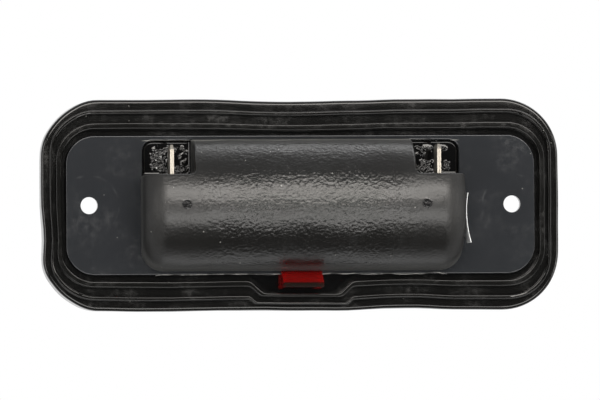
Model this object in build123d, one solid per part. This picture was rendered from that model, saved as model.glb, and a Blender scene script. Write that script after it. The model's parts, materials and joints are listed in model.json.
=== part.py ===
from build123d import *
from math import atan2, hypot, radians, sqrt, tan
import os

# Position lamp, in millimetres. Every piece is drawn as seen from behind: x to the right, y up, z rearwards,
# with z = 0 on the rear face of the housing plate, midway between its screw holes. At the end each piece is
# turned into the lamp's own frame: X along the lamp, Z up, Y rearwards, so that the lens faces -Y.
# Left and right are as seen from behind.

# Housing: plate, riser and flange
plate_length = 99.7
plate_margin = 0.75  # plate beyond the hood on its long sides
plate_thickness = 2.0
plate_corner = 6.0
plate_round = 0.22
wall = 1.8
flange_drop = 3.0  # plate's rear face down to the flange's rear face
flange_thickness = 2.0
flange_fit = 0.2
tongue_spacing = 50.0
tongue_width = 8.0
tongue_thickness = 1.0
tongue_reach = 1.1
tongue_fit = 0.2

# Housing: bulb hood and its terminal pockets
hood_length = 68.0
hood_radius = 14.0
hood_end_round = 4.6
hood_inner_round = 2.6
pocket_reach = 10.6  # from the hood's end towards its middle
pocket_sill = 6.3  # height of the pocket's lower wall above the middle line
pocket_sink = 1.2  # pocket floor below the plate
pocket_wall = 1.6
pocket_corner = 1.0
pocket_inset = 0.35  # pocket floor inside the hood's footprint
pocket_outer_corner = 2.2
pocket_floor_round = 0.6
pocket_rim_round = 0.6
pocket_edge_round = 0.35
mark_spacing = 50.7
mark_radius = 0.85
mark_depth = 0.6

# Screw holes
screw_edge = 4.85  # from the middle of a hole to the plate's end
screw_hole_radius = 1.8
screw_relief_radius = 3.0
screw_boss_inset = 0.45  # boss inside the plate's end

# Gasket: widths of its bands from the plate's edge outwards, at the ends and along the sides
gap_end = 1.1
gap_side = 1.45
inner_rib_end = 1.1
inner_rib_side = 1.3
groove_end = 0.75
groove_side = 1.9
outer_rib_end = 0.6
outer_rib_side = 0.85
rim_end = 1.75
rim_side = 2.25
corner_growth = 0.9  # corner radius that the ribs gain for each millimetre outwards
outline_corner = 12.2
rib_proud = 0.5  # rib tops above the plate
rib_round = 0.22
web_drop = 1.0  # gasket's rear face below the plate
gap_floor_thickness = 0.6
rim_round = 0.75
gasket_fit = 0.25
lip_thickness = 0.8
lip_depth = 3.0
lip_fit = 0.05

# Gasket: the jog of its bottom run round the lens hook
jog_side = 6.6  # from the hook's side to the start of the jog
jog_run = 1.1  # run along the side for each millimetre of jog
jog_squeeze = 0.58  # width that the bands keep beside the hook
jog_bend = 0.2  # share of the slope that each of its bends takes
jog_ledge = 0.35

# Lens
lens_depth = 14.0
lens_wall = 2.2
lens_ledge = 1.2
lens_draft = 3.0
lens_front_round = 5.0
lens_inner_round = 2.8
well_radius = 4.75
well_wall = 1.8
well_floor = 2.5
flute_pitch = 3.2
flute_radius = 2.4
flute_height = 0.55
flute_well_gap = 6.4
flute_side_gap = 0.9
hook_width = 8.6
hook_neck = 6.6  # width of the arm below the barb
hook_arm = 2.45
hook_gap = 0.3
hook_seat = 0.1
hook_lip = 0.35
hook_barb = 5.4
hook_tip = 0.8
hook_bevel = 0.25
hook_length = 13.7  # from its tip to its root on the lens wall
hook_root = 2.0

# Bulb
bulb_radius = 5.25
bulb_length = 36.0
bulb_roof_gap = 1.95
glass_wall = 0.6
glass_neck_radius = 3.9
glass_neck_length = 3.5  # seated in each cap
glass_neck_gap = 0.1
glass_shoulder = 1.8
cap_wall = 0.25
cap_fit = 0.1
cap_length = 5.0
cap_cone_length = 2.6
cap_step = 0.75
cap_tip_radius = 1.3
filament_radius = 0.3
filament_length = 14.0
lead_radius = 0.18
lead_fit = 0.1

# Contacts
tab_width = 6.3
tab_thickness = 0.8
tab_length = 6.2
tab_bevel = 1.0
tab_point = 0.15
tab_point_length = 0.8
tab_inset = 5.75  # from the hood's end to the middle of the tab
tab_roof_gap = 0.38
fold_seam = 0.12
fold_seam_depth = 0.3
strip_thickness = 0.4
strip_fit = 0.15
strip_gap = 0.05
finger_radius = 4.0
finger_fit = 0.05
finger_grip = 0.3  # bulb tip beyond the finger's outer face

# Label
label_thickness = 0.14
label_gap = 0.1
label_curl_radius = 22.8
label_middle = -1.7
label_above = 3.9
label_below = 6.6
label_near = 2.0
label_width = 7.4

# Worked out from the sizes above
plate_half_length = plate_length / 2
screw_spacing = plate_length - 2 * screw_edge
plate_half_height = hood_radius + plate_margin
hood_half_length = hood_length / 2
band_end = gap_end + inner_rib_end + groove_end + outer_rib_end + rim_end
band_side = gap_side + inner_rib_side + groove_side + outer_rib_side + rim_side
seat = -flange_drop
flange_front = seat - flange_thickness
web_rear = -web_drop
lens_front = seat - lens_depth
lens_half_length = plate_half_length + band_end - lip_thickness - lip_fit
lens_half_height = plate_half_height + band_side - lip_thickness - lip_fit
lens_corner = outline_corner - lip_thickness - lip_fit
recess_half_length = lens_half_length - lens_wall
recess_half_height = lens_half_height - lens_wall
recess_corner = lens_corner - lens_wall
hook_inner = plate_half_height + hook_gap
hook_outer = hook_inner + hook_arm
jog_mouth = hook_width / 2 + jog_side
pocket_inner = hood_half_length - pocket_reach
hood_foot = pocket_sink + pocket_wall
bulb_height = hood_radius - wall - bulb_radius - bulb_roof_gap
foot_top = pocket_sill - pocket_wall - strip_gap
tab_middle = hood_half_length - tab_inset
tab_high = sqrt((hood_radius - wall) ** 2 - foot_top**2) - tab_roof_gap
tab_low = tab_high - tab_width
cap_bore = glass_neck_radius + cap_fit
cap_rim = cap_bore + cap_wall
cap_tip = bulb_length / 2
cap_shoulder = cap_tip - cap_cone_length
cap_start = cap_shoulder - cap_length
finger_outer = cap_tip - finger_grip
finger_inner = finger_outer - strip_thickness
overshoot = 1.0  # a cut runs this far past the face that it opens
beyond = plate_length  # a cut this long runs clear of the lamp
near = 0.01  # how close counts as lying on a line


def rounded(half_length, half_height, corner):
    return RectangleRounded(2 * half_length, 2 * half_height, corner)


def slab(outline, low, high):
    return extrude(Pos(0, 0, low) * outline, high - low, dir=(0, 0, 1))


def block(x_span, y_span, z_span):
    spans = (x_span, y_span, z_span)
    middle = [(low + high) / 2 for low, high in spans]
    return Pos(*middle) * Box(*[high - low for low, high in spans])


def both_sides(right):
    """The piece on the right and its mirror image on the left."""
    return right + mirror(right, about=Plane.YZ)


def screw_post(radius, low, high):
    post = extrude(Pos(screw_spacing / 2, 0, low) * Circle(radius), high - low)
    return both_sides(post)


def vault(radius, half_length, end_round, foot):
    """Half-round tunnel with closed, rounded ends; its straight foot reaches below z = 0."""
    arch = CenterArc((0, 0), radius, 0, 180)
    legs = Polyline((-radius, 0), (-radius, -foot), (radius, -foot), (radius, 0))
    tunnel = extrude(Plane.YZ * make_face(arch + legs), half_length, both=True)
    ends = [
        edge
        for edge in tunnel.edges()
        if abs(abs(edge.center().X) - half_length) < near and edge.center().Z > near - foot
    ]
    return fillet(ends, end_round)


def jogged(end, side, jog):
    """Outline that far outside the plate's edge, with its bottom run stepped outwards round the hook."""
    half_length = plate_half_length + end
    half_height = plate_half_height + side
    corner = plate_corner + corner_growth * end
    run = jog * jog_run
    floor = jog_mouth - run
    bend = jog_bend * hypot(run, jog) / tan(atan2(jog, run) / 2)
    points = [
        (-half_length, half_height),
        (-half_length, -half_height),
        (-jog_mouth, -half_height),
        (-floor, -half_height - jog),
        (floor, -half_height - jog),
        (jog_mouth, -half_height),
        (half_length, -half_height),
        (half_length, half_height),
    ]
    bends = [corner, corner, bend, bend, bend, bend, corner, corner]
    return make_face(FilletPolyline(*points, radius=bends, close=True))


def band_jog(side):
    return (band_side - side) * (1 - jog_squeeze)


def make_gasket():
    gap_line = (gap_end, gap_side)
    inner_rib_line = (gap_end + inner_rib_end, gap_side + inner_rib_side)
    groove_line = (inner_rib_line[0] + groove_end, inner_rib_line[1] + groove_side)
    outer_rib_line = (groove_line[0] + outer_rib_end, groove_line[1] + outer_rib_side)
    lines = [gap_line, inner_rib_line, groove_line, outer_rib_line]
    gap, inner_rib, groove, outer_rib = [jogged(end, side, band_jog(side)) for end, side in lines]
    hole = jogged(gasket_fit, gasket_fit, gap_side + band_jog(gap_side) - gasket_fit - jog_ledge)
    outline = rounded(plate_half_length + band_end, plate_half_height + band_side, outline_corner)
    lens_edge = rounded(lens_half_length + lip_fit, lens_half_height + lip_fit, lens_corner + lip_fit)

    web = slab(outline, seat, web_rear)
    web = fillet(web.edges().group_by(Axis.Z)[-1], rim_round)
    web -= slab(hole, seat - overshoot, web_rear + overshoot)
    web -= slab(gap, seat + gap_floor_thickness, web_rear + overshoot)
    lip = slab(outline - lens_edge, seat - lip_depth, seat)
    ribs = slab(inner_rib - gap, web_rear, rib_proud) + slab(outer_rib - groove, web_rear, rib_proud)
    ribs = fillet(ribs.edges().group_by(Axis.Z)[-1], rib_round)
    return web + lip + ribs


def pocket_outline():
    """Outline of the right-hand terminal pocket, in the upper corner of the hood's footprint."""
    footprint = rounded(hood_half_length - pocket_inset, hood_radius - pocket_inset, pocket_outer_corner)
    length = pocket_reach + overshoot
    height = hood_radius - pocket_sill + overshoot
    corner = Pos(pocket_inner + length / 2, pocket_sill + height / 2) * Rectangle(length, height)
    outline = footprint & corner
    inner_corner = outline.vertices().sort_by_distance((pocket_inner, pocket_sill, 0))[0]
    return fillet(inner_corner, pocket_corner)


def is_pocket_rim(edge):
    """Whether an edge of the cut hood bounds a pocket on the hood's outer surface."""
    at = edge.center()
    reach = abs(at.X) - pocket_inner
    rise = at.Y - pocket_sill
    on_wall = min(reach, rise) > -near and (min(reach, rise) < near or max(reach, rise) < pocket_corner)
    in_corner = max(reach, rise) < pocket_corner + near and abs(edge.tangent_at(0.5).Z) > 1 - near
    return on_wall and not in_corner and at.Z > near - hood_foot


def sink_pockets(tray):
    """Sink the two pockets' floors into the plate, with a rounded foot and a rounded rim."""
    sink = slab(pocket_outline(), -pocket_sink, overshoot)
    sink = fillet(sink.edges().group_by(Axis.Z)[0], pocket_floor_round)
    tray += both_sides(slab(pocket_outline(), -hood_foot, -plate_thickness))
    tray -= both_sides(sink)
    rims = [
        edge
        for edge in tray.edges()
        if abs(edge.center().Z) < near
        and abs(abs(edge.center().X) - hood_half_length) < pocket_reach + near
        and pocket_sill - near < edge.center().Y < hood_radius + near
    ]
    return fillet(rims, pocket_edge_round)


def make_hood():
    """Outside of the hood, with its two upper corners cut away for the pockets and their rims rounded."""
    hood = vault(hood_radius, hood_half_length, hood_end_round, hood_foot)
    cut = block((pocket_inner, beyond), (pocket_sill, beyond), (-beyond, beyond))
    inner_corner = cut.edges().filter_by(Axis.Z).sort_by_distance((pocket_inner, pocket_sill, 0))[0]
    hood -= both_sides(fillet(inner_corner, pocket_corner))
    return fillet([edge for edge in hood.edges() if is_pocket_rim(edge)], pocket_rim_round)


def make_hood_cavity():
    """Room for the bulb, open to the front, which leaves the pockets' walls and floors standing."""
    cavity = vault(hood_radius - wall, hood_half_length - wall, hood_inner_round, flange_drop + flange_thickness)
    pocket_shell = block(
        (pocket_inner - pocket_wall, beyond),
        (pocket_sill - pocket_wall, beyond),
        (-hood_foot, beyond),
    )
    return cavity - both_sides(pocket_shell)


def make_housing():
    plate = rounded(plate_half_length, plate_half_height, plate_corner)
    hollow = rounded(plate_half_length - wall, plate_half_height - wall, plate_corner - wall)
    flange = rounded(recess_half_length - flange_fit, recess_half_height - flange_fit, recess_corner - flange_fit)
    tray = slab(plate, flange_front, 0)
    tray = fillet(tray.edges().group_by(Axis.Z)[-1], plate_round)
    tray += slab(flange, flange_front, seat)
    tray -= slab(hollow, flange_front - overshoot, -plate_thickness)
    tray += screw_post(screw_edge - screw_boss_inset, flange_front, -plate_thickness)

    housing = sink_pockets(tray) + make_hood() - make_hood_cavity()
    housing -= screw_post(screw_hole_radius, -plate_thickness - overshoot, overshoot)
    housing -= screw_post(screw_relief_radius, flange_front - overshoot, -plate_thickness)
    mark = Pos(mark_spacing / 2, 0, hood_radius) * Cylinder(mark_radius, 2 * mark_depth)
    housing -= both_sides(mark)
    slot = block(
        (tab_middle - tab_thickness / 2 - strip_fit, tab_middle + tab_thickness / 2 + strip_fit),
        (pocket_sill - pocket_wall - overshoot, pocket_sill + overshoot),
        (tab_low - strip_fit, tab_high + strip_fit),
    )
    housing -= both_sides(slot)
    housing -= block(
        (-hook_width / 2 - hook_gap, hook_width / 2 + hook_gap),
        (-hook_outer - hook_gap, -plate_half_height),
        (flange_front - overshoot, seat + overshoot),
    )
    return housing + both_sides(make_tongue(0))


def make_tongue(clearance):
    """Right-hand tongue on the flange's top edge, or with a clearance the slot that takes it."""
    edge = recess_half_height - flange_fit
    middle = seat - flange_thickness / 2
    half_width = tongue_width / 2 + clearance
    half_thickness = tongue_thickness / 2 + clearance
    return block(
        (tongue_spacing / 2 - half_width, tongue_spacing / 2 + half_width),
        (edge - tongue_reach, edge + tongue_reach + clearance),
        (middle - half_thickness, middle + half_thickness),
    )


def drafted(half_length, half_height, corner, rear, front, front_round):
    """Block that narrows by the mould's draft towards a rounded front."""
    inset = (rear - front) * tan(radians(lens_draft))
    rear_outline = Pos(0, 0, rear) * rounded(half_length, half_height, corner)
    front_outline = Pos(0, 0, front) * rounded(half_length - inset, half_height - inset, corner - inset)
    body = loft([rear_outline, front_outline])
    return fillet(body.edges().group_by(Axis.Z)[0], front_round)


def make_flutes(inner_front):
    """Upright ribs on the inside of the lens face, which spread the light sideways."""
    band_length = screw_spacing - 2 * (well_radius + well_wall + flute_well_gap)
    inset = lens_wall + lens_ledge + (flange_front - inner_front) * tan(radians(lens_draft))
    half_height = lens_half_height - inset - lens_inner_round - flute_side_gap
    count = int(band_length / flute_pitch)
    middle = inner_front + flute_height - flute_radius
    section = Sketch() + [
        Pos((index - (count - 1) / 2) * flute_pitch, middle) * Circle(flute_radius) for index in range(count)
    ]
    rise = flute_height + lens_wall / 2
    section &= Pos(0, inner_front + flute_height - rise / 2) * Rectangle(beyond, rise)
    return extrude(Plane.XZ * section, half_height, both=True)


def make_hook():
    """Snap arm that rises past the plate's bottom edge, with a broader barb that catches on its rear face."""
    tip = hook_seat + hook_barb
    root = tip - hook_length
    wall_middle = lens_half_height - lens_wall
    catch = hood_radius + hook_seat
    arm = Polyline(
        (-hook_inner, root),
        (-hook_inner, hook_seat),
        (-hook_outer, hook_seat),
        (-hook_outer, root + hook_root),
        (-wall_middle, root + hook_root),
        (-wall_middle, root),
        close=True,
    )
    barb = Polyline(
        (-catch, hook_seat),
        (-catch, hook_seat + hook_lip),
        (-hook_outer + hook_tip, tip),
        (-hook_outer + hook_bevel, tip),
        (-hook_outer, tip - hook_bevel),
        (-hook_outer, hook_seat),
        close=True,
    )
    hook = extrude(Plane.YZ * make_face(arm), hook_neck / 2, both=True)
    return hook + extrude(Plane.YZ * make_face(barb), hook_width / 2, both=True)


def make_lens():
    inner_front = lens_front + lens_wall
    inset = lens_wall + lens_ledge
    lens = drafted(lens_half_length, lens_half_height, lens_corner, seat, lens_front, lens_front_round)
    lens -= slab(rounded(recess_half_length, recess_half_height, recess_corner), flange_front, seat + overshoot)
    lens -= drafted(
        lens_half_length - inset,
        lens_half_height - inset,
        lens_corner - inset,
        flange_front,
        inner_front,
        lens_inner_round,
    )
    lens += make_flutes(inner_front)
    lens += screw_post(well_radius + well_wall, inner_front, flange_front)
    lens -= screw_post(well_radius, lens_front - overshoot, flange_front - well_floor)
    lens -= screw_post(screw_relief_radius, lens_front, flange_front + overshoot)
    lens += make_hook()
    return lens - both_sides(make_tongue(tongue_fit))


def make_contact():
    """Right-hand contact: folded tab through the pocket's sill, foot under it, finger on the bulb's tip."""
    tab_tip = pocket_sill + tab_length
    tab_foot = foot_top - strip_thickness
    half_thickness = tab_thickness / 2
    seen_from_side = Polyline(
        (tab_foot, tab_low),
        (tab_tip - tab_bevel, tab_low),
        (tab_tip, tab_low + tab_bevel),
        (tab_tip, tab_high - tab_bevel),
        (tab_tip - tab_bevel, tab_high),
        (tab_foot, tab_high),
        close=True,
    )
    seen_from_rear = Polyline(
        (tab_middle - half_thickness, tab_foot),
        (tab_middle + half_thickness, tab_foot),
        (tab_middle + half_thickness, tab_tip - tab_point_length),
        (tab_middle + half_thickness - tab_point, tab_tip),
        (tab_middle - half_thickness + tab_point, tab_tip),
        (tab_middle - half_thickness, tab_tip - tab_point_length),
        close=True,
    )
    tab = slab(make_face(seen_from_rear), tab_low, tab_high)
    tab &= extrude(Plane.YZ * make_face(seen_from_side), beyond)
    tab -= block(
        (tab_middle - fold_seam / 2, tab_middle + fold_seam / 2),
        (pocket_sill, tab_tip + overshoot),
        (tab_high - fold_seam_depth, tab_high + overshoot),
    )
    foot = block((finger_inner, tab_middle), (tab_foot, foot_top), (tab_low, tab_high))
    neck_low = max(tab_low, bulb_height - finger_radius)
    neck_high = min(tab_high, bulb_height + finger_radius)
    neck = Pos(foot_top / 2, (neck_low + neck_high) / 2) * Rectangle(foot_top, neck_high - neck_low)
    cone_slope = (cap_rim - cap_step - cap_tip_radius) / cap_cone_length
    hole_radius = cap_tip_radius + cone_slope * (cap_tip - finger_inner) + finger_fit
    finger = Pos(0, bulb_height) * Circle(finger_radius) + neck - Pos(0, bulb_height) * Circle(hole_radius)
    finger &= Pos(foot_top - beyond / 2, 0) * Rectangle(beyond, beyond)
    return tab + foot + extrude(Plane.YZ.offset(finger_inner) * finger, strip_thickness)


def turned(profile):
    """Round piece on the bulb's axis, from a profile of lengths along it and radii."""
    return Pos(0, 0, bulb_height) * revolve(make_face(profile), Axis.X)


def glass_profile(inset):
    neck = cap_start - glass_neck_gap - inset / 2
    tube = neck - glass_shoulder
    end = cap_start + glass_neck_length - inset
    points = [
        (-end, 0),
        (-end, glass_neck_radius - inset),
        (-neck, glass_neck_radius - inset),
        (-tube, bulb_radius - inset),
        (tube, bulb_radius - inset),
        (neck, glass_neck_radius - inset),
        (end, glass_neck_radius - inset),
        (end, 0),
    ]
    return Polyline(*points, close=True)


def make_bulb_glass():
    return turned(glass_profile(0)) - turned(glass_profile(glass_wall))


def make_bulb_cap():
    """Right-hand cap: a thin cup over the glass neck, closed by the cone that the contact holds."""
    points = [
        (cap_start, cap_bore),
        (cap_start, cap_rim),
        (cap_shoulder, cap_rim),
        (cap_shoulder, cap_rim - cap_step),
        (cap_tip, cap_tip_radius),
        (cap_tip, 0),
        (cap_shoulder - cap_wall, 0),
        (cap_shoulder - cap_wall, cap_bore),
    ]
    return turned(Polyline(*points, close=True))


def make_filament():
    """Coil, taken as its outer cylinder, and the leads that carry it from both ends of the glass."""
    coil = filament_length / 2
    end = cap_start + glass_neck_length - glass_wall - lead_fit
    points = [
        (-end, 0),
        (-end, lead_radius),
        (-coil, lead_radius),
        (-coil, filament_radius),
        (coil, filament_radius),
        (coil, lead_radius),
        (end, lead_radius),
        (end, 0),
    ]
    return turned(Polyline(*points, close=True))


def make_label():
    """Sticker on the hood's right-hand end, held at its middle and curling off above and below."""
    centre = hood_half_length + label_gap + label_thickness + label_curl_radius
    rings = Circle(label_curl_radius + label_thickness) - Circle(label_curl_radius)
    height = label_above + label_below
    middle = label_middle + (label_above - label_below) / 2
    sheet = Pos(centre, label_middle) * rings
    sheet &= Pos(hood_half_length + label_curl_radius / 2, middle) * Rectangle(label_curl_radius, height)
    return slab(sheet, label_near, label_near + label_width)


def main():
    contact = make_contact()
    cap = make_bulb_cap()
    pieces = {
        "housing": make_housing(),
        "gasket": make_gasket(),
        "lens": make_lens(),
        "contact_left": mirror(contact, about=Plane.YZ),
        "contact_right": contact,
        "bulb_glass": make_bulb_glass(),
        "bulb_cap_left": mirror(cap, about=Plane.YZ),
        "bulb_cap_right": cap,
        "bulb_filament": make_filament(),
        "label": make_label(),
    }
    upright = Plane(origin=(0, 0, 0), x_dir=(-1, 0, 0), z_dir=(0, 1, 0)).location
    os.makedirs("parts", exist_ok=True)
    for name, piece in pieces.items():
        export_step(upright * piece, f"parts/{name}.step")


main()
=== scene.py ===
import json
from math import cos, pi, radians, sin

import bpy
from mathutils import Matrix, Vector


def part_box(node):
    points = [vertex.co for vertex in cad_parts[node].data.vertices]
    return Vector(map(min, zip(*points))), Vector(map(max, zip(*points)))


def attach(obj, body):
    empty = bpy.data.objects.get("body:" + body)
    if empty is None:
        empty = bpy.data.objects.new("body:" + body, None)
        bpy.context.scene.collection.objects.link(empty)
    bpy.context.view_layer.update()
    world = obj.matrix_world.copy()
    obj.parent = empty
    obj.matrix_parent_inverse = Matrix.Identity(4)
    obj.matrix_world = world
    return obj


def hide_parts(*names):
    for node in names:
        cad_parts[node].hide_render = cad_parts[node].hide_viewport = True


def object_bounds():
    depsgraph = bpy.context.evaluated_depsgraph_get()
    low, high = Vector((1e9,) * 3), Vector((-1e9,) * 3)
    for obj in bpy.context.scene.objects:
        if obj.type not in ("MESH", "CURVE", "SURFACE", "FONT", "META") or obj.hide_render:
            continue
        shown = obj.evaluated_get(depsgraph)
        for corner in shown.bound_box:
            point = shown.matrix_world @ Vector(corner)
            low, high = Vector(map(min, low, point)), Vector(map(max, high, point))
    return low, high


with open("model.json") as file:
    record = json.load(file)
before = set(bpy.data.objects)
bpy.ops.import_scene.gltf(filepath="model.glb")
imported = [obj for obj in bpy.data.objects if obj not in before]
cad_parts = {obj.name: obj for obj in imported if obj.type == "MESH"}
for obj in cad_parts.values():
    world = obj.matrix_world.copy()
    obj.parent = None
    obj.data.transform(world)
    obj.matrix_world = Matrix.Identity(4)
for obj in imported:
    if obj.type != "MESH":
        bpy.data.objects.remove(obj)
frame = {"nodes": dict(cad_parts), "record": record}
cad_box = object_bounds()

# The looks of a position lamp, in metres, seen from behind: X to the left, Z up, Y towards the camera.

MM = 0.001

# Camera, as in a photograph 600 pixels wide that shows 4.72 pixels for each millimetre at the plate
camera_azimuth = radians(174.4)
camera_elevation = radians(-1.3)
camera_distance = 1.6
camera_roll = radians(-0.36)
camera_aim = Vector((0.22 * MM, 0, 1.0 * MM))
picture_width = 600 / 4.72 * MM
sensor_width = 36.0

# Studio light
floor_drop = 0.1 * MM
floor_radius = 6.0
floor_sides = 96
softbox_turn = 186
softbox_distance = 1.0
strip_turn = 62
room_side = 0.22
room_above = 0.5
room_below = 0.08
room_camera = 0.06

# Finishes, painted shade and painted highlights that change with the place on the housing and the hook
satin_half_length = 34.9 * MM
satin_half_height = 14.2 * MM
satin_corner = 3.0 * MM
pocket_middle = Vector((27.7 * MM, 0, 9.5 * MM))
pocket_half_length = 3.6 * MM
pocket_half_height = 2.3 * MM
pocket_corner = 1.2 * MM
# The painted highlight line along the trimmed flash at the hood's top
flash_line = 13.62 * MM
flash_width = 0.13 * MM
flash_half_length = 34 * MM
mark_spacing = 50.7 * MM
mark_radius = 1.3 * MM
mark_edge = 0.5 * MM
ring_radius = 6.3 * MM
ring_width = 0.35 * MM
hole_spacing = frame["record"]["mounts"][0]["dims"]["spacing_x_mm"] * MM
# Where the hook's tip is painted dark brown as shade
hook_tip_start = 4.9 * MM
hook_tip_full = 5.25 * MM

# The soft gasket
merge_distance = 0.001 * MM
bend_margin = 6 * MM
slice_pitch = 2.5 * MM
ripple_scale = 14 * MM
ripple_strength = 0.35 * MM
pull_grip = 2.0 * MM
smooth_angle = radians(32)
# Where the lip is pulled: the place, the move and how far the pull reaches
lip_pulls = (
    (Vector((55 * MM, -3.5 * MM, -8 * MM)), Vector((-0.65 * MM, 0, 0)), 9 * MM),
    (Vector((50.5 * MM, -3.5 * MM, -18.5 * MM)), Vector((-0.45 * MM, 0, 0.45 * MM)), 7 * MM),
    (Vector((50.5 * MM, -3.5 * MM, 18.5 * MM)), Vector((-0.3 * MM, 0, -0.25 * MM)), 7 * MM),
    (Vector((0, -2.0 * MM, 22.5 * MM)), Vector((0, 0, -0.5 * MM)), 22 * MM),
    (Vector((-21 * MM, -2.0 * MM, -22.5 * MM)), Vector((0, 0, 0.4 * MM)), 12 * MM),
)

# Moulding flash along the plate's lower edge
edge_flash_place = Vector((0, 0.04 * MM, -14.7 * MM))
edge_flash_half_length = 31 * MM
edge_flash_radius = 0.11 * MM
edge_flash_wave = 1.1 * MM
edge_flash_wave_length = 5 * MM
edge_flash_pitch = 0.8 * MM
edge_flash_sides = 8

# The bulb's coil
wire_radius = 0.07 * MM
wire_sides = 8
coil_half_length = 7 * MM
coil_turns = 36
coil_steps = 14
lead_radius = 0.15 * MM
lead_sides = 10


class Graph:
    """Adds nodes to one node tree. An input is a plain value or another node's output."""

    def __init__(self, tree):
        self.tree = tree

    def add(self, kind, inputs=None, **settings):
        node = self.tree.nodes.new(kind)
        for name, value in settings.items():
            setattr(node, name, value)
        for key, value in (inputs or {}).items():
            socket = node.inputs[key]
            if isinstance(value, bpy.types.NodeSocket):
                self.tree.links.new(value, socket)
            else:
                socket.default_value = value
        return node

    def link(self, output, socket):
        self.tree.links.new(output, socket)

    def math(self, operation, *values):
        return self.add("ShaderNodeMath", dict(enumerate(values)), operation=operation).outputs[0]

    def ramp(self, value, low, high, from_low=0.0, to_high=1.0):
        inputs = {"Value": value, "From Min": low, "From Max": high, "To Min": from_low, "To Max": to_high}
        return self.add("ShaderNodeMapRange", inputs, interpolation_type="SMOOTHSTEP").outputs["Result"]

    def noise(self, place, scale, detail=2.0, roughness=0.5):
        inputs = {"Vector": place, "Scale": scale, "Detail": detail, "Roughness": roughness}
        return self.add("ShaderNodeTexNoise", inputs).outputs["Fac"]

    def cells(self, place, scale, feature="F1", output="Distance"):
        inputs = {"Vector": place, "Scale": scale}
        return self.add("ShaderNodeTexVoronoi", inputs, feature=feature).outputs[output]

    def mix(self, factor, low, high):
        inputs = {"Factor": factor, "A": low, "B": high}
        node = self.add("ShaderNodeMix", data_type="FLOAT")
        for key, value in inputs.items():
            self.set(node.inputs[key], value)
        return node.outputs["Result"]

    def tint(self, factor, low, high):
        node = self.add("ShaderNodeMix", data_type="RGBA")
        self.set(node.inputs["Factor"], factor)
        self.set(node.inputs[6], low)
        self.set(node.inputs[7], high)
        return node.outputs[2]

    def set(self, socket, value):
        if isinstance(value, bpy.types.NodeSocket):
            self.link(value, socket)
        else:
            socket.default_value = value

    def group(self, group, inputs):
        node = self.add("ShaderNodeGroup", node_tree=group)
        for key, value in inputs.items():
            self.set(node.inputs[key], value)
        return node.outputs

    def place(self):
        return self.add("ShaderNodeTexCoord").outputs["Object"]

    def bump(self, height, distance, normal=None):
        inputs = {"Height": height, "Strength": 1.0, "Distance": distance}
        if normal is not None:
            inputs["Normal"] = normal
        return self.add("ShaderNodeBump", inputs).outputs["Normal"]


def new_group(name, inputs, outputs):
    """A shader node group with the named sockets: its graph, its input node and its output node."""
    tree = bpy.data.node_groups.new(name, "ShaderNodeTree")
    for key, kind in inputs.items():
        tree.interface.new_socket(key, in_out="INPUT", socket_type=kind)
    for key in outputs:
        tree.interface.new_socket(key, in_out="OUTPUT", socket_type="NodeSocketFloat")
    graph = Graph(tree)
    return graph, graph.add("NodeGroupInput").outputs, graph.add("NodeGroupOutput").inputs


def make_grain_group():
    """Moulded grain: soft lumps with a finer tooth on them, as a height from 0 to 1."""
    graph, given, made = new_group(
        "moulded_grain",
        {"Place": "NodeSocketVector", "Lump Scale": "NodeSocketFloat", "Tooth": "NodeSocketFloat"},
        ["Height"],
    )
    lumps = graph.cells(given["Place"], given["Lump Scale"], feature="SMOOTH_F1")
    tooth_scale = graph.math("MULTIPLY", given["Lump Scale"], 1.3)
    tooth = graph.noise(given["Place"], tooth_scale, detail=3.0)
    graph.link(graph.mix(given["Tooth"], lumps, tooth), made["Height"])
    return graph.tree


def make_area_group():
    """Whether a place lies in a rounded rectangle in the X and Z plane, from 1 inside to 0 outside."""
    sizes = ["Half Length", "Half Height", "Corner", "Soft"]
    graph, given, made = new_group(
        "rounded_area",
        {"Place": "NodeSocketVector"} | {size: "NodeSocketFloat" for size in sizes},
        ["Mask"],
    )
    x, y, z = graph.add("ShaderNodeSeparateXYZ", {0: given["Place"]}).outputs
    excess = []
    for value, half in ((x, given["Half Length"]), (z, given["Half Height"])):
        inside = graph.math("SUBTRACT", half, given["Corner"])
        past = graph.math("SUBTRACT", graph.math("ABSOLUTE", value), inside)
        excess.append(graph.math("MAXIMUM", past, 0.0))
    squares = [graph.math("MULTIPLY", value, value) for value in excess]
    beyond = graph.math("SUBTRACT", graph.math("SQRT", graph.math("ADD", *squares)), given["Corner"])
    graph.link(graph.ramp(beyond, given["Soft"], 0.0), made["Mask"])
    return graph.tree


def make_smudge_group():
    """Cloudy handling marks: a broad mask broken up by a finer one."""
    graph, given, made = new_group(
        "smudges",
        {"Place": "NodeSocketVector", "Scale": "NodeSocketFloat"},
        ["Mask"],
    )
    broad = graph.ramp(graph.noise(given["Place"], given["Scale"], detail=4.0, roughness=0.65), 0.42, 0.72)
    fine_scale = graph.math("MULTIPLY", given["Scale"], 6.0)
    fine = graph.ramp(graph.noise(given["Place"], fine_scale, detail=3.0), 0.3, 0.7)
    graph.link(graph.math("MULTIPLY", broad, fine), made["Mask"])
    return graph.tree


def make_dust_and_glint_group():
    """Small round dots, each in its own cell: specks of dust, and painted glints where the pockets use it."""
    graph, given, made = new_group(
        "dust",
        {"Place": "NodeSocketVector", "Scale": "NodeSocketFloat", "Amount": "NodeSocketFloat"},
        ["Mask"],
    )
    distance = graph.cells(given["Place"], given["Scale"])
    chance = graph.cells(given["Place"], given["Scale"], output="Color")
    draw = graph.add("ShaderNodeSeparateColor", {0: chance}).outputs[0]
    chosen = graph.math("LESS_THAN", draw, given["Amount"])
    dot = graph.ramp(distance, 0.22, 0.1)
    graph.link(graph.math("MULTIPLY", chosen, dot), made["Mask"])
    return graph.tree


grain = make_grain_group()
rounded_area = make_area_group()
smudges = make_smudge_group()
dust = make_dust_and_glint_group()


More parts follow.
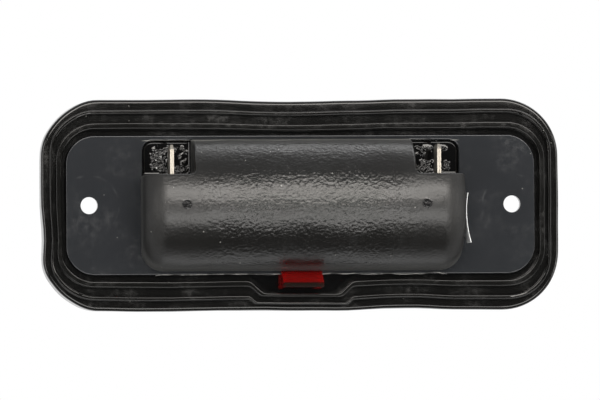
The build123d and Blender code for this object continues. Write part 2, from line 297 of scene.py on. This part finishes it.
def new_material(name):
    """A material with its Principled shader; returns the material, its graph and the shader."""
    material = bpy.data.materials.new(name)
    material.use_nodes = True
    graph = Graph(material.node_tree)
    return material, graph, material.node_tree.nodes["Principled BSDF"]


def constants(shader, **values):
    for name, value in values.items():
        shader.inputs[name.replace("_", " ")].default_value = value


def flash_plastic():
    """Thin moulding flash, painted pale in patches as the highlight along it."""
    material, graph, shader = new_material("flash_plastic")
    place = graph.place()
    painted_highlight_patches = graph.ramp(graph.noise(place, 350.0, detail=3.0), 0.4, 0.65)
    # Painted highlight: pale patches on the flash stand in for the light it catches
    graph.link(graph.tint(painted_highlight_patches, (0.05, 0.05, 0.05, 1), (0.26, 0.26, 0.25, 1)), shader.inputs["Base Color"])
    graph.link(graph.mix(painted_highlight_patches, 0.18, 0.4), shader.inputs["Roughness"])
    constants(shader, IOR=1.52)
    return material


def screw_rings(graph, place):
    """Faint broken rings that a screw's washer has rubbed into the plate round each hole."""
    x, y, z = graph.add("ShaderNodeSeparateXYZ", {0: place}).outputs
    along = graph.math("SUBTRACT", graph.math("ABSOLUTE", x), hole_spacing / 2)
    squares = graph.math("ADD", graph.math("MULTIPLY", along, along), graph.math("MULTIPLY", z, z))
    distance = graph.math("SQRT", squares)
    off_ring = graph.math("ABSOLUTE", graph.math("SUBTRACT", distance, ring_radius))
    ring = graph.ramp(off_ring, ring_width, 0.0)
    return graph.math("MULTIPLY", ring, graph.ramp(graph.noise(place, 260.0, detail=3.0), 0.48, 0.7))


def mark_recesses(graph, across, y, z):
    """The two round ejector marks on top of the hood, which are smooth and dark inside."""
    along = graph.math("SUBTRACT", across, mark_spacing / 2)
    squares = graph.math("ADD", graph.math("MULTIPLY", along, along), graph.math("MULTIPLY", z, z))
    inside = graph.ramp(graph.math("SQRT", squares), mark_radius, mark_radius - mark_edge)
    return graph.math("MULTIPLY", inside, graph.ramp(y, 12 * MM, 13 * MM))


def flash_painted_highlight(graph, place, across, y, z):
    """A thin pale line painted along the top of the hood and of the two pockets, as a highlight on the
    trimmed flash there.
    """
    sway = graph.math("MULTIPLY", graph.math("SUBTRACT", graph.noise(place, 90.0, detail=1.0), 0.5), 0.6 * MM)
    off_line = graph.math("ABSOLUTE", graph.math("SUBTRACT", graph.math("ADD", z, sway), flash_line))
    line = graph.ramp(off_line, flash_width, 0.4 * flash_width)
    line = graph.math("MULTIPLY", line, graph.ramp(y, -0.4 * MM, -0.2 * MM))
    line = graph.math("MULTIPLY", line, graph.ramp(across, flash_half_length, flash_half_length - 1 * MM))
    worn = graph.ramp(graph.noise(place, 200.0, detail=3.0), 0.3, 0.6, 0.35, 1.0)
    return graph.math("MULTIPLY", line, worn)


def housing_plastic():
    """Black plastic: polished plate, pebbled satin hood with its foot painted paler as light, glossy pocket
    floors painted near-black as shade.
    """
    material, graph, shader = new_material("housing_plastic")
    place = graph.place()
    x, y, z = graph.add("ShaderNodeSeparateXYZ", {0: place}).outputs
    across = graph.math("ABSOLUTE", x)
    satin = graph.group(rounded_area, {
        "Place": place,
        "Half Length": satin_half_length,
        "Half Height": satin_half_height,
        "Corner": satin_corner,
        "Soft": 0.25 * MM,
    })["Mask"]
    satin = graph.math("MULTIPLY", satin, graph.ramp(y, 0.02 * MM, 0.2 * MM))
    folded = graph.add("ShaderNodeCombineXYZ", {0: across, 1: y, 2: z}).outputs[0]
    shift = graph.add("ShaderNodeVectorMath", {0: folded, 1: pocket_middle}, operation="SUBTRACT")
    from_pocket = shift.outputs[0]
    pocket = graph.group(rounded_area, {
        "Place": from_pocket,
        "Half Length": pocket_half_length,
        "Half Height": pocket_half_height,
        "Corner": pocket_corner,
        "Soft": 1.0 * MM,
    })["Mask"]
    sunk = graph.ramp(y, -0.25 * MM, -0.6 * MM)
    pocket = graph.math("MULTIPLY", pocket, sunk)

    pebbles = graph.group(grain, {"Place": place, "Lump Scale": 1250.0, "Tooth": 0.7})["Height"]
    blobs = graph.group(grain, {"Place": place, "Lump Scale": 1700.0, "Tooth": 0.5})["Height"]
    clusters = graph.ramp(graph.noise(place, 480.0, detail=2.0), 0.44, 0.6)
    glints = graph.group(dust, {"Place": place, "Scale": 1150.0, "Amount": 0.4})["Mask"]
    glints = graph.math("MULTIPLY", glints, clusters)
    marks = graph.group(smudges, {"Place": place, "Scale": 120.0})["Mask"]
    specks = graph.group(dust, {"Place": place, "Scale": 1100.0, "Amount": 0.012})["Mask"]
    rings = screw_rings(graph, place)
    mark = mark_recesses(graph, across, y, z)

    middle = graph.ramp(across, 27 * MM, 12 * MM)
    # Painted light: the hood's foot near the plate is painted paler, standing in for the light it catches
    # there
    foot = graph.ramp(y, 6.8 * MM, 3.6 * MM)
    ends = graph.ramp(across, 29 * MM, 31 * MM)
    satin_rough = graph.mix(middle, 0.34, 0.23)
    satin_rough = graph.mix(graph.math("MAXIMUM", foot, ends), satin_rough, 0.55)
    plate_rough = graph.mix(graph.math("MAXIMUM", marks, rings), 0.12, 0.22)
    rough = graph.mix(satin, plate_rough, satin_rough)
    rough = graph.mix(sunk, graph.mix(mark, rough, 0.13), 0.05)
    satin_colour = graph.tint(foot, (0.0042, 0.004, 0.0036, 1), (0.042, 0.043, 0.042, 1))
    colour = graph.tint(satin, (0.015, 0.0165, 0.0188, 1), satin_colour)
    colour = graph.tint(mark, colour, (0.007, 0.007, 0.0075, 1))
    # Painted shade: everything sunk below the plate, pocket floors and gaps, is painted near-black
    colour = graph.tint(sunk, colour, (0.002, 0.002, 0.0021, 1))
    # Painted highlights: pale glints painted onto the pocket floors in clusters
    colour = graph.tint(graph.math("MULTIPLY", glints, pocket), colour, (0.75, 0.76, 0.75, 1))
    scuffs = graph.math("ADD", graph.math("MULTIPLY", marks, 0.12), graph.math("MULTIPLY", rings, 0.3))
    colour = graph.tint(scuffs, colour, (0.05, 0.052, 0.054, 1))
    colour = graph.tint(specks, colour, (0.16, 0.16, 0.15, 1))
    # Painted highlight: the pale line along the flash at the hood's top
    colour = graph.tint(flash_painted_highlight(graph, place, across, y, z), colour, (0.17, 0.17, 0.16, 1))
    pebble_share = graph.math("MULTIPLY", satin, graph.mix(middle, 0.35, 1.0))
    pebble_height = graph.math("MULTIPLY", pebbles, pebble_share)
    swells = graph.math("MULTIPLY", graph.noise(place, 130.0, detail=1.0), satin)
    normal = graph.bump(pebble_height, 0.23 * MM)
    normal = graph.bump(swells, 0.35 * MM, normal)
    blob_height = graph.math("MULTIPLY", blobs, graph.math("MULTIPLY", pocket, clusters))
    normal = graph.bump(blob_height, 0.5 * MM, normal)
    graph.link(colour, shader.inputs["Base Color"])
    graph.link(rough, shader.inputs["Roughness"])
    graph.link(normal, shader.inputs["Normal"])
    constants(shader, IOR=1.52)
    return material


def gasket_rubber():
    """Black rubber with a smooth moulded skin, smudges and specks of dust."""
    material, graph, shader = new_material("gasket_rubber")
    place = graph.place()
    skin = graph.group(grain, {"Place": place, "Lump Scale": 1800.0, "Tooth": 0.6})["Height"]
    marks = graph.group(smudges, {"Place": place, "Scale": 150.0})["Mask"]
    specks = graph.group(dust, {"Place": place, "Scale": 1100.0, "Amount": 0.015})["Mask"]
    colour = graph.tint(marks, (0.0018, 0.0018, 0.0016, 1), (0.005, 0.005, 0.0046, 1))
    colour = graph.tint(specks, colour, (0.09, 0.09, 0.083, 1))
    graph.link(colour, shader.inputs["Base Color"])
    graph.link(graph.mix(marks, 0.13, 0.26), shader.inputs["Roughness"])
    graph.link(graph.bump(skin, 0.006 * MM), shader.inputs["Normal"])
    constants(shader, IOR=1.5)
    return material


def slot_painted_shade(graph, x, y, z):
    """Painted shade inside the lens, behind the slot for the hook, where the lens is painted near-black."""
    behind_front = graph.ramp(y, -15.6 * MM, -15.0 * MM)
    below_plate = graph.ramp(y, -0.3 * MM, -0.8 * MM)
    inside = graph.math("MULTIPLY", behind_front, below_plate)
    along = graph.ramp(graph.math("ABSOLUTE", x), 7.5 * MM, 6 * MM)
    return graph.math("MULTIPLY", graph.math("MULTIPLY", inside, along), graph.ramp(z, -13 * MM, -14 * MM))


def lens_plastic():
    """Clear red plastic with faint flow marks in its gloss; the hook's tip and the lens behind its slot are
    painted dark as shade.
    """
    material, graph, shader = new_material("lens_plastic")
    place = graph.place()
    x, y, z = graph.add("ShaderNodeSeparateXYZ", {0: place}).outputs
    marks = graph.group(smudges, {"Place": place, "Scale": 90.0})["Mask"]
    specks = graph.group(dust, {"Place": place, "Scale": 700.0, "Amount": 0.01})["Mask"]
    # Painted shade: the hook's tip, its underside chamfer, is painted dark brown
    tip = graph.ramp(y, hook_tip_start, hook_tip_full)
    colour = graph.tint(marks, (0.6, 0.01, 0.008, 1), (0.52, 0.01, 0.008, 1))
    colour = graph.tint(specks, colour, (0.4, 0.2, 0.18, 1))
    # Painted shade: the lens behind the hook's slot is painted near-black
    colour = graph.tint(slot_painted_shade(graph, x, y, z), colour, (0.008, 0.003, 0.003, 1))
    graph.link(graph.tint(tip, colour, (0.03, 0.018, 0.014, 1)), shader.inputs["Base Color"])
    graph.link(graph.mix(tip, graph.mix(marks, 0.07, 0.18), 0.08), shader.inputs["Roughness"])
    constants(shader, IOR=1.49, Transmission_Weight=0.75)
    return material


def tinned_metal(name, colour, dull, rough):
    """Plated metal with a brushed grain along its length and dull patches."""
    material, graph, shader = new_material(name)
    place = graph.place()
    stretched = graph.add("ShaderNodeMapping", {"Vector": place, "Scale": (9.0, 3.0, 1.0)}).outputs[0]
    brushed = graph.noise(stretched, 900.0, detail=4.0)
    patches = graph.group(smudges, {"Place": place, "Scale": 400.0})["Mask"]
    graph.link(graph.tint(patches, colour, dull), shader.inputs["Base Color"])
    graph.link(graph.mix(patches, rough, rough + 0.2), shader.inputs["Roughness"])
    graph.link(graph.bump(brushed, 0.01 * MM), shader.inputs["Normal"])
    constants(shader, Metallic=1.0)
    return material


def clear_glass():
    """Clear bulb glass, with a slight haze towards its ends."""
    material, graph, shader = new_material("clear_glass")
    place = graph.place()
    across = graph.math("ABSOLUTE", graph.add("ShaderNodeSeparateXYZ", {0: place}).outputs[0])
    haze = graph.ramp(across, 7 * MM, 12 * MM)
    streaks = graph.noise(place, 300.0, detail=3.0)
    graph.link(graph.math("MULTIPLY", haze, graph.math("MULTIPLY", streaks, 0.3)), shader.inputs["Roughness"])
    graph.link(graph.tint(haze, (0.97, 0.98, 0.97, 1), (0.8, 0.8, 0.78, 1)), shader.inputs["Base Color"])
    constants(shader, IOR=1.5, Transmission_Weight=1.0)
    return material


def label_paper():
    """White sticker paper, faintly mottled."""
    material, graph, shader = new_material("label_paper")
    place = graph.place()
    fibres = graph.noise(place, 4000.0, detail=4.0)
    marks = graph.group(smudges, {"Place": place, "Scale": 300.0})["Mask"]
    graph.link(graph.tint(marks, (0.66, 0.68, 0.69, 1), (0.55, 0.55, 0.53, 1)), shader.inputs["Base Color"])
    graph.link(graph.mix(fibres, 0.45, 0.65), shader.inputs["Roughness"])
    graph.link(graph.bump(fibres, 0.01 * MM), shader.inputs["Normal"])
    return material


def floor_paint():
    """White floor with the lamp's soft shadow; clear from below, where the camera stands just under it."""
    material, graph, shader = new_material("floor_paint")
    path = graph.add("ShaderNodeLightPath").outputs
    seen = graph.math("MAXIMUM", path["Is Camera Ray"], path["Is Transmission Ray"])
    seen = graph.math("MAXIMUM", seen, path["Is Glossy Ray"])
    constants(shader, Base_Color=(0.8, 0.8, 0.8, 1), Roughness=0.9, Specular_IOR_Level=0.0)
    constants(shader, Emission_Color=(1, 1, 1, 1))
    graph.link(graph.math("MULTIPLY", seen, 0.45), shader.inputs["Emission Strength"])
    from_below = graph.add("ShaderNodeNewGeometry").outputs["Backfacing"]
    clear = graph.add("ShaderNodeBsdfTransparent").outputs[0]
    paint = graph.add("ShaderNodeMixShader", {0: from_below, 1: shader.outputs[0], 2: clear}).outputs[0]
    graph.link(paint, material.node_tree.nodes["Material Output"].inputs["Surface"])
    return material


def dress(node, material):
    """Gives a CAD node its finish."""
    slots = frame["nodes"][node].data.materials
    slots.clear()
    slots.append(material)


def direction(azimuth, elevation):
    return Vector((sin(azimuth) * cos(elevation), -cos(azimuth) * cos(elevation), sin(elevation)))


def add_camera():
    camera = bpy.data.objects.new("camera", bpy.data.cameras.new("camera"))
    bpy.context.scene.collection.objects.link(camera)
    away = direction(camera_azimuth, camera_elevation)
    turned = (-away).to_track_quat("-Z", "Y").to_matrix() @ Matrix.Rotation(camera_roll, 3, "Z")
    camera.matrix_world = Matrix.Translation(camera_aim + camera_distance * away) @ turned.to_4x4()
    camera.data.sensor_width = sensor_width
    camera.data.lens = sensor_width * camera_distance / picture_width
    bpy.context.scene.camera = camera


def add_softbox(name, azimuth, elevation, distance, width, height, radiance, colour):
    """A rectangular soft light that faces the lamp. Its power follows from how bright it looks."""
    light = bpy.data.lights.new(name, "AREA")
    light.shape = "RECTANGLE"
    light.size = width
    light.size_y = height
    light.energy = radiance * pi * width * height
    light.color = colour
    softbox = bpy.data.objects.new(name, light)
    bpy.context.scene.collection.objects.link(softbox)
    away = direction(radians(azimuth), radians(elevation))
    turned = away.to_track_quat("Z", "Y").to_matrix().to_4x4()
    softbox.matrix_world = Matrix.Translation(distance * away) @ turned
    softbox.visible_camera = False


def add_lights():
    add_softbox("upper_softbox", softbox_turn, 21.5, softbox_distance, 0.93, 0.42, 8.2, (1.0, 0.96, 0.91))
    add_softbox("lower_softbox", softbox_turn, -22, softbox_distance, 0.93, 0.4, 4.9, (1.0, 0.98, 0.95))
    for name, turn in (("left_strip", -strip_turn), ("right_strip", strip_turn)):
        add_softbox(name, softbox_turn + turn, 0, softbox_distance, 0.3, 0.7, 5.0, (1.0, 0.97, 0.94))
    add_softbox("front_softbox", -30, 45, 1.2, 1.0, 0.8, 2.0, (1.0, 1.0, 1.0))


def add_world():
    """White behind the lamp; dimmer overhead, below and on the camera's side, as in a real room."""
    world = bpy.data.worlds.new("studio")
    world.use_nodes = True
    bpy.context.scene.world = world
    graph = Graph(world.node_tree)
    background = world.node_tree.nodes["Background"]
    sky = graph.add("ShaderNodeTexCoord").outputs["Generated"]
    x, y, z = graph.add("ShaderNodeSeparateXYZ", {0: sky}).outputs
    above = graph.ramp(z, 0.45, 1.0, room_side, room_above)
    room = graph.mix(graph.ramp(z, -0.45, -1.0), above, room_below)
    room = graph.mix(graph.ramp(y, 0.55, 0.95), room, room_camera)
    tent = graph.mix(graph.ramp(y, 0.1, -0.3), room, 1.0)
    path = graph.add("ShaderNodeLightPath").outputs
    seen = graph.math("MAXIMUM", path["Is Camera Ray"], path["Is Transmission Ray"])
    graph.link(graph.mix(seen, tent, 1.0), background.inputs["Strength"])
    background.inputs["Color"].default_value = (1, 1, 1, 1)


def select_only(piece):
    bpy.ops.object.select_all(action="DESELECT")
    piece.select_set(True)
    bpy.context.view_layer.objects.active = piece


def copy_of(node, name):
    """A new piece with a CAD node's shape, its loose triangles merged."""
    piece = bpy.data.objects.new(name, frame["nodes"][node].data.copy())
    bpy.context.scene.collection.objects.link(piece)
    select_only(piece)
    if piece.data.has_custom_normals:
        bpy.ops.mesh.customdata_custom_splitnormals_clear()
    bpy.ops.object.mode_set(mode="EDIT")
    bpy.ops.mesh.select_all(action="SELECT")
    bpy.ops.mesh.remove_doubles(threshold=merge_distance)
    bpy.ops.object.mode_set(mode="OBJECT")
    return piece


def slice_along(axis, half, pitch):
    """Cuts the piece being edited every pitch along an axis, so that it can bend there."""
    for index in range(-int(half / pitch), int(half / pitch) + 1):
        bpy.ops.mesh.select_all(action="SELECT")
        bpy.ops.mesh.bisect(plane_co=axis * index * pitch, plane_no=axis)


def ripple(piece, direction_axis, scale, strength):
    """Moves the piece along one axis by a soft cloud of that scale."""
    clouds = bpy.data.textures.new(f"{piece.name}_{direction_axis}", "CLOUDS")
    clouds.noise_scale = scale
    clouds.noise_depth = 1
    select_only(piece)
    bpy.ops.object.modifier_add(type="DISPLACE")
    modifier = piece.modifiers[-1]
    modifier.texture = clouds
    modifier.texture_coords = "LOCAL"
    modifier.direction = direction_axis
    modifier.mid_level = 0.5
    modifier.strength = strength
    bpy.ops.object.modifier_apply(modifier=modifier.name)


def finish_piece(piece, material, slot, *nodes):
    """Dresses a new piece, fixes it to the lamp, and lets it stand for the named CAD nodes."""
    piece.data.materials.clear()
    piece.data.materials.append(material)
    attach(piece, "root")
    if nodes:
        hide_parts(*nodes)


def pull(piece, chosen, move, reach):
    """Pulls the chosen vertices, and softly those within reach of them."""
    select_only(piece)
    bpy.ops.object.mode_set(mode="EDIT")
    bpy.ops.mesh.select_all(action="DESELECT")
    bpy.ops.object.mode_set(mode="OBJECT")
    for vertex in piece.data.vertices:
        vertex.select = chosen(vertex.co)
    bpy.ops.object.mode_set(mode="EDIT")
    bpy.ops.transform.translate(
        value=move,
        use_proportional_edit=True,
        proportional_edit_falloff="SMOOTH",
        proportional_size=reach,
    )
    bpy.ops.object.mode_set(mode="OBJECT")


def make_rubber_frame(rubber):
    """The gasket as soft rubber lies: slightly wavy runs, with its lip pulled in here and there."""
    piece = copy_of("gasket", "rubber_frame")
    low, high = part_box("gasket")
    bpy.ops.object.mode_set(mode="EDIT")
    slice_along(Vector((1, 0, 0)), high.x - bend_margin, slice_pitch)
    slice_along(Vector((0, 0, 1)), high.z - bend_margin, slice_pitch)
    bpy.ops.object.mode_set(mode="OBJECT")
    ripple(piece, "Z", ripple_scale, ripple_strength)
    ripple(piece, "X", ripple_scale, ripple_strength)
    for at, move, reach in lip_pulls:
        pull(piece, lambda co: (co - at).length < pull_grip, move, reach)
    select_only(piece)
    bpy.ops.object.mode_set(mode="EDIT")
    bpy.ops.mesh.select_all(action="SELECT")
    bpy.ops.mesh.normals_make_consistent(inside=False)
    bpy.ops.object.mode_set(mode="OBJECT")
    keep_inside(piece, low, high)
    bpy.ops.object.shade_smooth_by_angle(angle=smooth_angle)
    finish_piece(piece, rubber, "black_rubber", "gasket")


def keep_inside(piece, low, high):
    """Shrinks the piece along X and Z just enough to stay within a box."""
    corners = [Vector(corner) for corner in piece.bound_box]
    factors = []
    for axis in range(3):
        reach = max(max(c[axis] for c in corners) / high[axis], min(c[axis] for c in corners) / low[axis])
        factors.append(min(1.0, 1.0 / reach) if axis != 1 else 1.0)
    select_only(piece)
    bpy.ops.object.mode_set(mode="EDIT")
    bpy.ops.mesh.select_all(action="SELECT")
    bpy.ops.transform.resize(value=factors, center_override=(0, 0, 0))
    bpy.ops.object.mode_set(mode="OBJECT")


def make_flash(plastic):
    """A thin wavy line of moulding flash along the plate's lower edge."""
    bpy.ops.object.select_all(action="DESELECT")
    bpy.ops.mesh.primitive_cylinder_add(
        vertices=edge_flash_sides,
        radius=edge_flash_radius,
        depth=2 * edge_flash_half_length,
        location=edge_flash_place,
        rotation=(0, pi / 2, 0),
    )
    piece = bpy.context.object
    piece.name = "bottom_flash"
    bpy.ops.object.transform_apply(location=True, rotation=True, scale=True)
    bpy.ops.object.mode_set(mode="EDIT")
    slice_along(Vector((1, 0, 0)), edge_flash_half_length, edge_flash_pitch)
    bpy.ops.object.mode_set(mode="OBJECT")
    ripple(piece, "Z", edge_flash_wave_length, edge_flash_wave)
    select_only(piece)
    bpy.ops.object.shade_smooth_by_angle(angle=smooth_angle)
    finish_piece(piece, plastic, "black_plastic")


def make_coil(tungsten):
    """The bulb's filament: a wound coil on its two straight leads."""
    low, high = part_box("bulb_filament")
    middle = (low + high) / 2
    bpy.ops.object.select_all(action="DESELECT")
    bpy.ops.mesh.primitive_circle_add(
        vertices=wire_sides,
        radius=wire_radius,
        location=(-coil_half_length, (high.y - low.y) / 2 - wire_radius, 0),
    )
    piece = bpy.context.object
    piece.name = "filament_coil"
    bpy.ops.object.transform_apply(location=True, rotation=True, scale=True)
    bpy.ops.object.modifier_add(type="SCREW")
    screw = piece.modifiers[-1]
    screw.axis = "X"
    screw.iterations = coil_turns
    screw.screw_offset = 2 * coil_half_length / coil_turns
    screw.steps = coil_steps
    screw.render_steps = coil_steps
    bpy.ops.object.modifier_apply(modifier=screw.name)
    leads = []
    for end in (low.x, high.x):
        inner = coil_half_length if end > 0 else -coil_half_length
        bpy.ops.mesh.primitive_cylinder_add(
            vertices=lead_sides,
            radius=lead_radius,
            depth=abs(end - inner),
            location=((end + inner) / 2, 0, 0),
            rotation=(0, pi / 2, 0),
        )
        bpy.ops.object.transform_apply(location=True, rotation=True, scale=True)
        leads.append(bpy.context.object)
    select_only(piece)
    for lead in leads:
        lead.select_set(True)
    bpy.ops.object.join()
    bpy.ops.object.mode_set(mode="EDIT")
    bpy.ops.mesh.select_all(action="SELECT")
    bpy.ops.transform.translate(value=middle)
    bpy.ops.mesh.remove_doubles(threshold=merge_distance)
    bpy.ops.mesh.normals_make_consistent(inside=False)
    bpy.ops.object.mode_set(mode="OBJECT")
    bpy.ops.object.shade_smooth_by_angle(angle=smooth_angle)
    finish_piece(piece, tungsten, "tungsten", "bulb_filament")


def add_floor():
    bpy.ops.object.select_all(action="DESELECT")
    bpy.ops.mesh.primitive_circle_add(
        vertices=floor_sides,
        radius=floor_radius,
        fill_type="NGON",
        location=(0, 0, cad_box[0].z - floor_drop),
    )
    floor = bpy.context.object
    floor.name = "floor"
    floor.data.materials.append(floor_paint())
    floor.visible_shadow = False
    floor.visible_glossy = False


def dress_nodes():
    dress("housing", housing_plastic())
    make_flash(flash_plastic())
    dress("lens", lens_plastic())
    tin = tinned_metal("tinned_brass", (0.44, 0.41, 0.36, 1), (0.3, 0.27, 0.22, 1), 0.34)
    dress("contact_left", tin)
    dress("contact_right", tin)
    nickel = tinned_metal("nickel_cap", (0.62, 0.6, 0.56, 1), (0.45, 0.43, 0.4, 1), 0.22)
    dress("bulb_cap_left", nickel)
    dress("bulb_cap_right", nickel)
    dress("bulb_glass", clear_glass())
    make_coil(tinned_metal("tungsten", (0.32, 0.31, 0.3, 1), (0.2, 0.19, 0.18, 1), 0.4))
    dress("label", label_paper())


def main():
    bpy.context.scene.view_settings.view_transform = "Standard"
    dress_nodes()
    make_rubber_frame(gasket_rubber())
    add_camera()
    add_lights()
    add_world()
    add_floor()


main()
